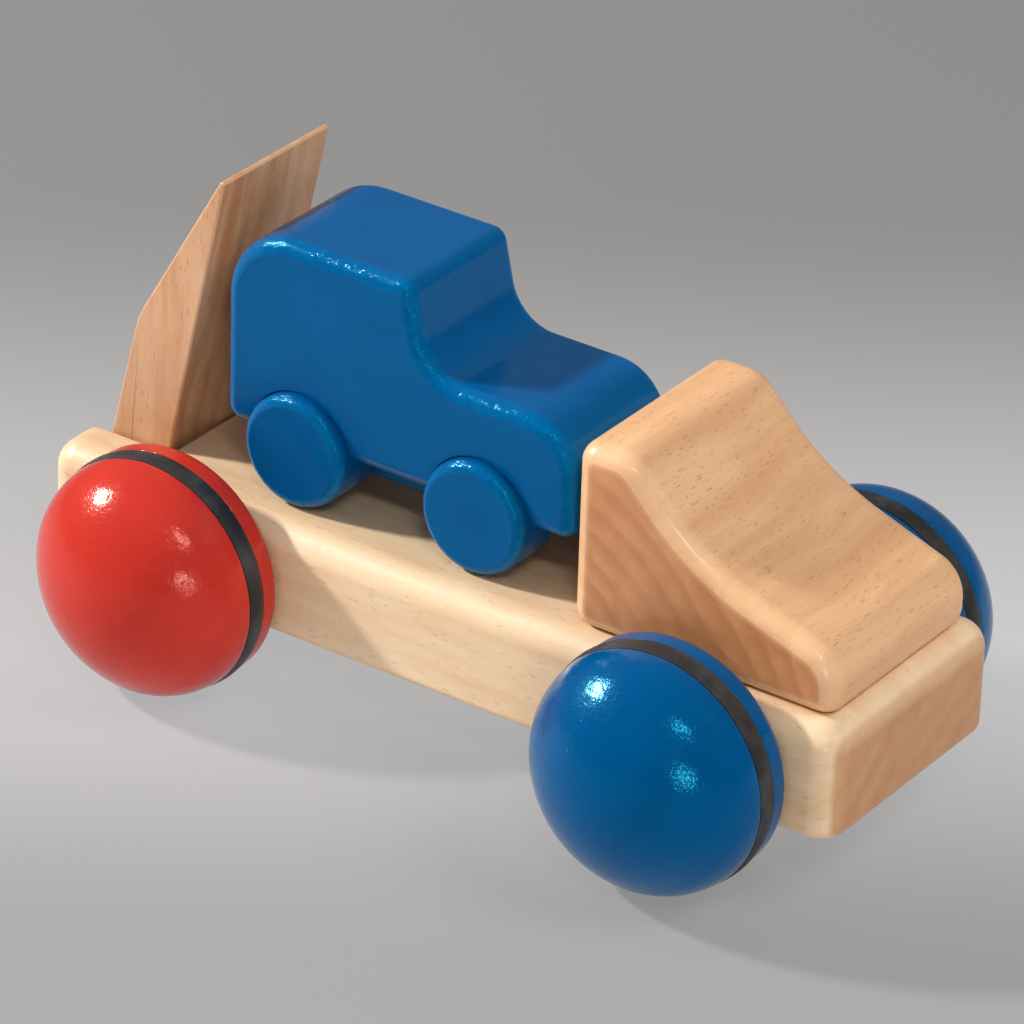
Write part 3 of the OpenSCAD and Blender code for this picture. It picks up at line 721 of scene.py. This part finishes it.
carBlock = {
    "bonnetHeight": 25.3,
    "screenFoot": 50.0,
    "screenRun": 4.4,
    "tailRound": 16.0,
    "noseRound": 12.0,
    "hollow": 10.0,
    "edgeRound": 3.6,
    "height": 44.6,
    "axles": (19.5, 63.7),
    "axleBelow": 0.5,
    "pocketRound": 12.65,
    "keelHalf": 7.5,
    "keelEnd": 8.0,
    "keelDeep": 6.58,
    "pocketSteps": 33,
    "arcSteps": 17,
    "edgeSteps": 13,
    # Per-corner strength of the lighter edge tone: a painted highlight, partly thin paint
    "cornerWearAndSheen": [0.3, 0.2, 0, 0.5, 0.2, 0.3],
}
carWheel = {
    "round": 2.6,
    "edgeBreak": 0.4,
    "steps": 96,
    "flatSteps": (5, 6),
    "breakSteps": 5,
    "roundSteps": 13,
}


def makeCarBody(look):
    # Slices across y. The upper outline steps in along a quarter circle at both sides. The underside is a
    # height over x: a pocket above each wheel outside the keel, and the keel's foot between its sides
    low, high = boxMm("car_body")
    length, width = high[0] - low[0], high[1] - low[1]
    floorZ = high[2] - look["height"]
    r, top, bonnet, foot = look["edgeRound"], look["height"], look["bonnetHeight"], look["screenFoot"]
    corners = [
        (length, 0, r),
        (length, bonnet, look["noseRound"]),
        (foot, bonnet, look["hollow"]),
        (foot - look["screenRun"], top, r),
        (0, top, look["tailRound"]),
        (0, 0, r),
    ]
    outline, normal = (a.reshape(1, -1, 2) for a in cornerArcs(corners, look["arcSteps"]))

    inward, outward = quarterRound(r, look["edgeSteps"])
    half, keel = width / 2, look["keelHalf"]
    y = np.concatenate([outward - half, [-keel, -keel, keel, keel], (half - outward)[::-1]])
    inset = np.concatenate([inward, np.zeros(4), inward[::-1]])[:, None]
    isKeel = np.zeros(len(y), bool)
    isKeel[len(inward) + 1 : len(inward) + 3] = True

    keelFrom, keelTo = look["axles"][0] - look["keelEnd"], look["axles"][1] + look["keelEnd"]
    pocket, drop = look["pocketRound"], look["axleBelow"]
    full = np.arcsin(drop / pocket)
    xs, zs, inKeel = [], [], []
    for axleX, keelX, rear in ((look["axles"][0], keelFrom, True), (look["axles"][1], keelTo, False)):
        atKeel = (np.arccos((axleX - keelX) / pocket) - full) / (np.pi - 2 * full)
        share = np.sort(np.concatenate([np.linspace(0, 1, look["pocketSteps"]), [atKeel, atKeel]]))
        start = np.arcsin((drop + inset) / pocket)
        turn = start + share * (np.pi - 2 * start)
        xs.append(axleX - pocket * np.cos(turn))
        zs.append(pocket * np.sin(turn) - drop)
        step = np.searchsorted(share, atKeel) + 1
        inKeel.append(np.arange(len(share)) >= step if rear else np.arange(len(share)) < step)
    underX, underZ, inKeel = np.concatenate(xs, axis=1), np.concatenate(zs, axis=1), np.concatenate(inKeel)
    underZ = np.where(isKeel[:, None], np.where(inKeel, -look["keelDeep"], 0.0), underZ)

    upper = outline - normal * inset[:, :, None]
    sectionX = np.concatenate([upper[..., 0], underX], axis=1)
    sectionZ = np.concatenate([upper[..., 1], underZ], axis=1)
    across = np.broadcast_to(y[:, None], sectionX.shape)
    middle = (low[1] + high[1]) / 2
    points, faces = cappedGrid(np.stack([low[0] + sectionX, middle + across, floorZ + sectionZ], axis=-1))
    # Lighter tone on the rounded edges: a painted highlight band, partly thin paint
    carSideWearSheen = np.concatenate([roundWearSheenMask(inward, r), np.zeros(4), roundWearSheenMask(inward, r)[::-1]])[:, None]
    outlineWearSheen = np.maximum(carSideWearSheen, cornerWearSheenMask(look["cornerWearAndSheen"], look["arcSteps"]))
    wearSheen = np.concatenate([outlineWearSheen, np.zeros(underX.shape)], axis=1)
    wearSheen[[0, -1]] = 0  # flat sides carry none
    return addPiece("carBody", points, faces, carLacquer, "car", ["car_body"], wearSheen)


makeCarBody(carBlock)

# Each disc is a half section turned round its axle: a flat back with a broken edge, then a rounded rim
# that runs into the flat face
for axle in ("front", "rear"):
    for sideName, side in sides:
        node = "car_%s_%s_wheel" % (axle, sideName)
        low, high = boxMm(node)
        r, thick = (high[2] - low[2]) / 2, high[1] - low[1]
        y = low[1] if side > 0 else high[1]
        b, soft, (inner, outer) = carWheel["edgeBreak"], carWheel["round"], carWheel["flatSteps"]
        discSection = np.concatenate(
            [
                np.stack([np.linspace(0, r - b, inner), np.zeros(inner)], axis=-1)[:-1],
                arc(r - b, b, b, -90, 0, carWheel["breakSteps"]),
                arc(r - soft, thick - soft, soft, 0, 90, carWheel["roundSteps"]),
                np.stack([np.linspace(r - soft, 0, outer), np.full(outer, thick)], axis=-1)[1:],
            ]
        )
        x, z = (low[0] + high[0]) / 2, (low[2] + high[2]) / 2
        disc = turned(discSection, x, y, z, side, carWheel["steps"])
        faces = gridQuads(*disc.shape[:2])
        # Lighter band on the rounded rim: a painted highlight, partly thin paint
        wearSheen = roundWearSheenMask(thick - discSection[:, 1], soft) * (discSection[:, 0] > r - soft - 0.01)
        wearSheen = np.broadcast_to(wearSheen[:, None], disc.shape[:2])
        name, body = "car" + axle.title() + sideName.title() + "Disc", "car_%s_wheels" % axle
        addPiece(name, disc.reshape(-1, 3), faces, carLacquer, body, [node], wearSheen)
print("toy car: body and four discs")


pin = {"proud": 0.2, "edgeBreak": 0.5, "steps": 64, "breakSteps": 7}


def makePin(look):
    # Plain dowel through the fork, its ends eased and a hair proud of the cheeks
    low, high = boxMm("ramp_pin")
    r, long, b = (high[2] - low[2]) / 2, high[1] - low[1] + 2 * look["proud"], look["edgeBreak"]
    few = look["breakSteps"]
    ends = arc(r - b, b, b, -90, 0, few), arc(r - b, long - b, b, 0, 90, few)
    section = np.concatenate([[[0, 0]], *ends, [[0, long]]])
    x, z = (low[0] + high[0]) / 2, (low[2] + high[2]) / 2
    rod = turned(section, x, low[1] - look["proud"], z, 1, look["steps"])
    faces = gridQuads(*rod.shape[:2])
    addPiece("rampPin", rod.reshape(-1, 3), faces, dowelWood, "truck", ["ramp_pin"])


makePin(pin)
for node in ("front_axle", "rear_axle", "car_front_axle", "car_rear_axle", "cab_dowels"):
    for slotOfNode in nodes[node].material_slots:
        slotOfNode.material = uprightDowelWood if node == "cab_dowels" else dowelWood
print("ramp pin, axles and cab dowels")


floorLook = {
    "size": 9.0,
    "near": (0.285, 0.285, 0.288, 1),
    "middle": (0.54, 0.54, 0.544, 1),
    "far": (0.13, 0.13, 0.133, 1),
    "paper": (0.72, 0.71, 0.70, 1),
    "glow": 0.8,
    "away": (-0.566, 0.824, 0),
    "nearSpan": (-0.095, 0.015),
    "farSpan": (0.0, 0.24),
}


def makeFloor(look):
    # Pale paper, seen mostly as glow, so the truck's shadow stays but is light. That glow is painted
    # backdrop light which darkens softly towards the viewer and the back
    material, tree, shader, place = newMaterial("paleFloor")
    depth = vecCalc(tree, "DOT_PRODUCT", place.outputs["Object"], look["away"], out="Value")
    colour = mixColour(tree, remap(tree, depth, *look["nearSpan"]), look["near"], look["middle"])
    colour = mixColour(tree, remap(tree, depth, *look["farSpan"]), colour, look["far"])
    cloud = noise(tree, place.outputs["Object"], 3.0, 3.0, 0.5)
    paper = mixColour(tree, calc(tree, "MULTIPLY", cloud, 0.1), look["paper"], look["middle"])
    tree.links.new(paper, shader.inputs["Base Color"])
    shader.inputs["Roughness"].default_value = 0.9
    shader.inputs["Specular IOR Level"].default_value = 0.1
    path = addNode(tree, "ShaderNodeLightPath").outputs
    seen = calc(tree, "ADD", path["Is Camera Ray"], path["Is Glossy Ray"])
    seen = calc(tree, "ADD", seen, path["Is Transmission Ray"], clamp=True)
    glow = addNode(tree, "ShaderNodeEmission", {"Color": colour})
    share = calc(tree, "MULTIPLY", seen, look["glow"])
    both = addNode(tree, "ShaderNodeMixShader", {0: share, 1: shader.outputs[0], 2: glow.outputs[0]})
    output = next(n for n in tree.nodes if n.type == "OUTPUT_MATERIAL")
    tree.links.new(both.outputs[0], output.inputs["Surface"])
    half = look["size"] / 2
    mesh = bpy.data.meshes.new("floor")
    corners = [(-half, -half, 0), (half, -half, 0), (half, half, 0), (-half, half, 0)]
    mesh.from_pydata(corners, [], [(0, 1, 2, 3)])
    mesh.materials.append(material)
    floor = bpy.data.objects.new("floor", mesh)
    bpy.context.scene.collection.objects.link(floor)


def bearing(azimuth, elevation):
    # Unit vector towards a compass angle, 0 at -y and 90 at +x, and a height in degrees
    a, e = np.radians(azimuth), np.radians(elevation)
    return np.array([np.sin(a) * np.cos(e), -np.cos(a) * np.cos(e), np.sin(e)])


aim = np.array([0.0, 0.0, 0.045])
lamps = {
    "keyLamp": {
        "azimuth": -69,
        "elevation": 33,
        "distance": 1.5,
        "size": (0.17, 0.1),
        "power": 28.0,
        "warm": 0.06,
    },
    "softFront": {
        "azimuth": 105,
        "elevation": 50,
        "distance": 1.6,
        "size": (0.8, 0.8),
        "power": 11.5,
        "warm": 0.03,
        "mirrored": False,
    },
    "upperWindow": {
        "azimuth": 40,
        "elevation": 46,
        "distance": 1.4,
        "size": (0.34, 0.075),
        "roll": -42,
        "power": 3.0,
        "warm": 0.05,
    },
    "lowerWindow": {
        "azimuth": 40,
        "elevation": 9,
        "distance": 1.4,
        "size": (0.34, 0.075),
        "roll": -42,
        "power": 2.7,
        "warm": 0.05,
    },
}
sky = {"low": (0.10, 0.087, 0.09, 1), "high": (0.38, 0.36, 0.36, 1)}


def addLamps(look):
    # Area lamps that look at the truck from their bearing. A window is a rectangle, rolled about its axis
    for name, lamp in look.items():
        light = bpy.data.lights.new(name, "AREA")
        light.shape = "RECTANGLE" if "Window" in name else "ELLIPSE"
        light.size, light.size_y = lamp["size"]
        light.energy = lamp["power"]
        light.color = (1.0, 1.0 - 0.5 * lamp["warm"], 1.0 - lamp["warm"])
        way = bearing(lamp["azimuth"], lamp["elevation"])
        stand = bpy.data.objects.new(name, light)
        turn = Vector(way).to_track_quat("Z", "Y").to_matrix().to_4x4()
        turn = turn @ Matrix.Rotation(np.radians(lamp.get("roll", 0)), 4, "Z")
        stand.matrix_world = Matrix.Translation(Vector(aim + way * lamp["distance"])) @ turn
        stand.visible_glossy = lamp.get("mirrored", True)
        bpy.context.scene.collection.objects.link(stand)


def makeSky(look):
    # Soft studio fill, brighter from above
    world = bpy.data.worlds.new("studio")
    world.use_nodes = True
    bpy.context.scene.world = world
    tree = world.node_tree
    tree.nodes.clear()
    way = addNode(tree, "ShaderNodeTexCoord").outputs["Generated"]
    up = addNode(tree, "ShaderNodeSeparateXYZ", {0: way}).outputs[2]
    fill = mixColour(tree, calc(tree, "MAXIMUM", up, 0.0), look["low"], look["high"])
    back = addNode(tree, "ShaderNodeBackground", {"Color": fill})
    addNode(tree, "ShaderNodeOutputWorld", {"Surface": back.outputs[0]})


view = {
    "azimuth": 34.468,
    "elevation": 29.083,
    "roll": 1.827,
    "distance": 1.2,
    "aim": (0.031411, -0.045979, 0.074938),
    "lens": 220.75,
}


def addCamera(look):
    # Stands off from the aim along its bearing; right and up are turned by the roll about that line
    back = bearing(look["azimuth"], look["elevation"])
    a, t = np.radians(look["azimuth"]), np.radians(look["roll"])
    level = np.array([np.cos(a), np.sin(a), 0.0])
    rise = np.cross(back, level)
    right = np.cos(t) * level + np.sin(t) * rise
    up = np.cos(t) * rise - np.sin(t) * level
    place = np.array(look["aim"]) + back * look["distance"]
    camera = bpy.data.cameras.new("photoView")
    camera.lens = look["lens"]
    camera.sensor_width = 36.0
    camera.clip_end = 50.0
    stand = bpy.data.objects.new("photoView", camera)
    rows = np.stack([right, up, back, place], axis=-1).tolist()
    stand.matrix_world = Matrix(rows + [[0, 0, 0, 1]])
    bpy.context.scene.collection.objects.link(stand)
    bpy.context.scene.camera = stand


makeFloor(floorLook)
addLamps(lamps)
makeSky(sky)
addCamera(view)
bpy.context.scene.view_settings.view_transform = "Standard"
print("floor, light and camera")
